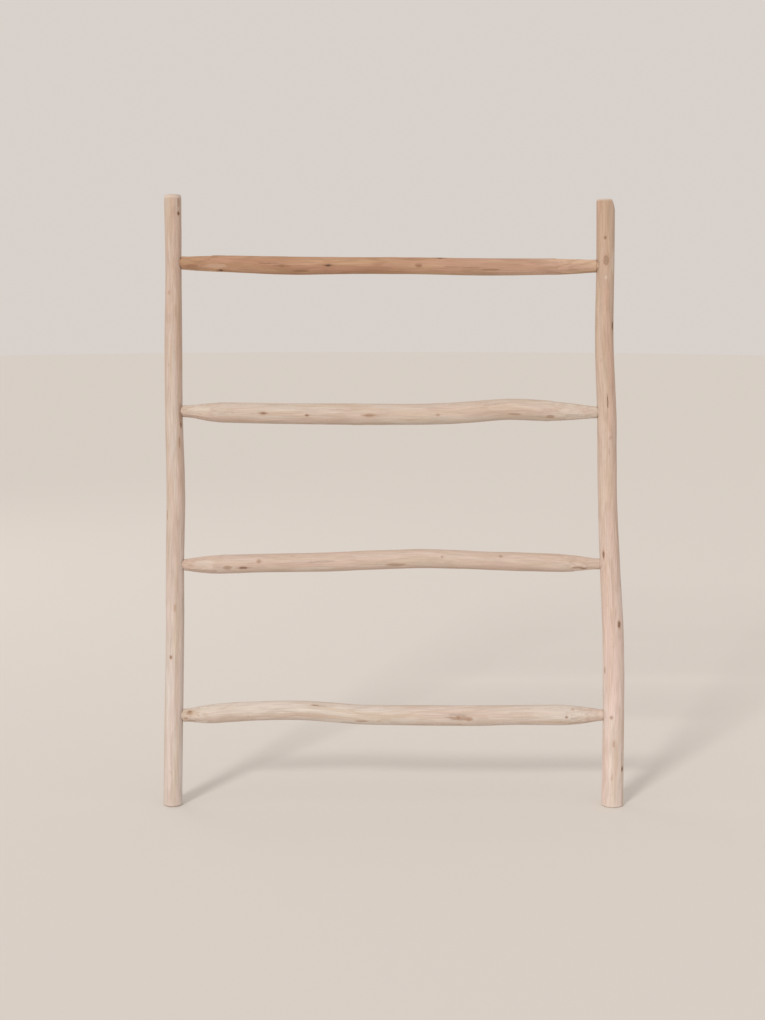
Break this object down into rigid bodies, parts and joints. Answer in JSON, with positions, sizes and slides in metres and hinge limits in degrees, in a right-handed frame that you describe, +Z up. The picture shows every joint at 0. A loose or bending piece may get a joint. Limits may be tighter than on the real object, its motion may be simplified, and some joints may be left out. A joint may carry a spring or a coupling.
{
  "type": "leaning branch ladder rack",
  "caption": "Leaning ladder rack of natural wooden branches: round stiles joined by whittled rungs, for hanging quilts, towels or blankets against a wall.",
  "frame": {"origin": "on the floor, at the middle of the outer box as the ladder leans", "axes": "+X along the rungs, to the right as seen from the room; +Y towards the wall it leans on; +Z up"},
  "size_m": [1.1443, 0.2851, 1.5009],
  "materials": {
    "stile_wood": "bare sanded pale hardwood branch, matt, with fine grain and small knots",
    "rung_wood": "bare sanded pale hardwood branch, matt, whittled ends, tan streaks and small knots",
    "top_rung_wood": "bare hardwood branch, matt, browner and redder than the other rungs",
    "peg_wood": "turned hardwood dowel, bare and matt"
  },
  "bodies": {
    "root": {"left_stile": "stile_wood", "right_stile": "stile_wood", "bottom_rung": "rung_wood", "lower_rung": "rung_wood", "upper_rung": "rung_wood", "top_rung": "top_rung_wood", "bottom_rung_left_peg": "peg_wood", "bottom_rung_right_peg": "peg_wood", "lower_rung_left_peg": "peg_wood", "lower_rung_right_peg": "peg_wood", "upper_rung_left_peg": "peg_wood", "upper_rung_right_peg": "peg_wood", "top_rung_left_peg": "peg_wood", "top_rung_right_peg": "peg_wood"}
  },
  "joints": []
}
